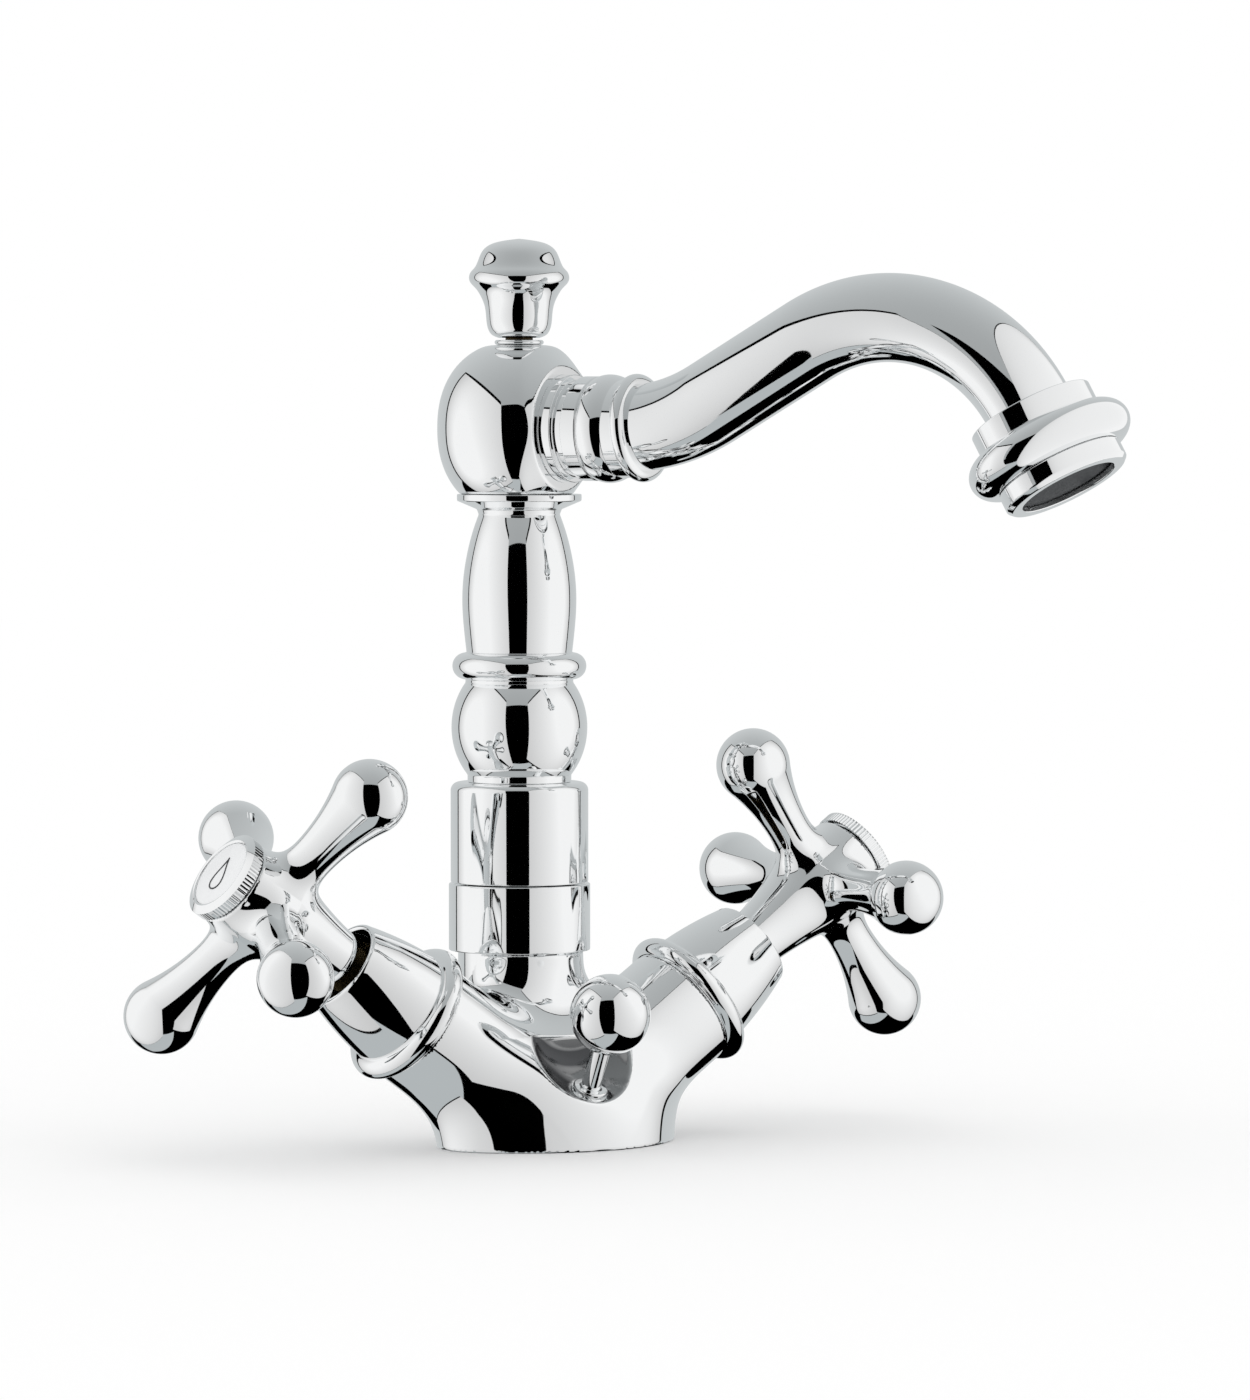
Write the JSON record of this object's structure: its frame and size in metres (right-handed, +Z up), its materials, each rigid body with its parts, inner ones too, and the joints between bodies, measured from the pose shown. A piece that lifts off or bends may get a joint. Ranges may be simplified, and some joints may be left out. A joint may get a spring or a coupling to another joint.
{
  "type": "basin mixer",
  "caption": "Deck-mounted basin mixer in polished chrome: cross handles on angled valves, a swivelling swan-neck spout on a turned column and a lift knob for the pop-up waste.",
  "frame": {"origin": "centre of the tap hole on the deck, under the body", "axes": "+Z up the spout column, -Y towards the user, hot valve at -X"},
  "size_m": [0.1872, 0.1551, 0.1907],
  "materials": {
    "chrome": "mirror polish",
    "brass": "machined",
    "rubber": "moulded",
    "white_enamel": "gloss",
    "grey_plastic": "moulded",
    "steel": "plain"
  },
  "bodies": {
    "base": {"body_casting": "chrome", "base_gasket": "rubber", "popup_guide_bush": "chrome", "spout_ring_nut": "chrome", "swivel_slip_washer": "grey_plastic", "hot_headwork": "brass", "hot_headwork_seal": "rubber", "hot_bonnet_cover": "chrome", "cold_headwork": "brass", "cold_headwork_seal": "rubber", "cold_bonnet_cover": "chrome"},
    "spout": {"swivel_split_ring": "grey_plastic", "swivel_sleeve": "chrome", "swivel_seals": "rubber", "baluster": "chrome", "spout_head": "chrome", "finial_washer": "chrome", "finial_stem": "brass", "finial_knob": "chrome", "spout_collar": "chrome", "spout_tube": "chrome", "outlet_collar": "chrome", "aerator_shell": "chrome", "aerator_washer": "rubber", "aerator_insert": "grey_plastic", "aerator_screen": "steel"},
    "lift_knob": {"popup_rod": "chrome", "popup_knob": "chrome"},
    "hot_handle_set": {"hot_handle": "chrome", "hot_spindle": "brass", "hot_spindle_seal": "rubber", "hot_spindle_clip": "steel", "hot_handle_screw": "brass", "hot_index_ring": "chrome", "hot_index_disc": "white_enamel"},
    "hot_washer_set": {"hot_washer_carrier": "brass", "hot_seat_washer": "rubber", "hot_washer_screw": "brass"},
    "cold_handle_set": {"cold_handle": "chrome", "cold_spindle": "brass", "cold_spindle_seal": "rubber", "cold_spindle_clip": "steel", "cold_handle_screw": "brass", "cold_index_ring": "chrome", "cold_index_disc": "white_enamel"},
    "cold_washer_set": {"cold_washer_carrier": "brass", "cold_seat_washer": "rubber", "cold_washer_screw": "brass"}
  },
  "joints": [
    {"name": "spout_swivel", "type": "hinge", "parent": "base", "child": "spout", "pos_m": [0, 0.0119, 0.05], "axis": [0, 0, 1], "continuous": true},
    {"name": "lift_knob_slide", "type": "slide", "parent": "base", "child": "lift_knob", "axis": [0, -0.4384, 0.8988], "range_m": [0, 0.012]},
    {"name": "hot_handle_turn", "type": "hinge", "parent": "base", "child": "hot_handle_set", "pos_m": [0, 0, 0.0044], "axis": [-0.8192, 0, 0.5736], "range_deg": [0, 540]},
    {"name": "hot_washer_lift", "type": "slide", "parent": "base", "child": "hot_washer_set", "axis": [-0.8192, 0, 0.5736], "range_m": [0, 0.004]},
    {"name": "cold_handle_turn", "type": "hinge", "parent": "base", "child": "cold_handle_set", "pos_m": [0, 0, 0.0044], "axis": [0.8192, 0, 0.5736], "range_deg": [0, 540]},
    {"name": "cold_washer_lift", "type": "slide", "parent": "base", "child": "cold_washer_set", "axis": [0.8192, 0, 0.5736], "range_m": [0, 0.004]}
  ],
  "couplings": [
    {"joint": "hot_washer_lift", "follows": "hot_handle_turn", "m_per_rad": 0.000424},
    {"joint": "cold_washer_lift", "follows": "cold_handle_turn", "m_per_rad": 0.000424}
  ]
}
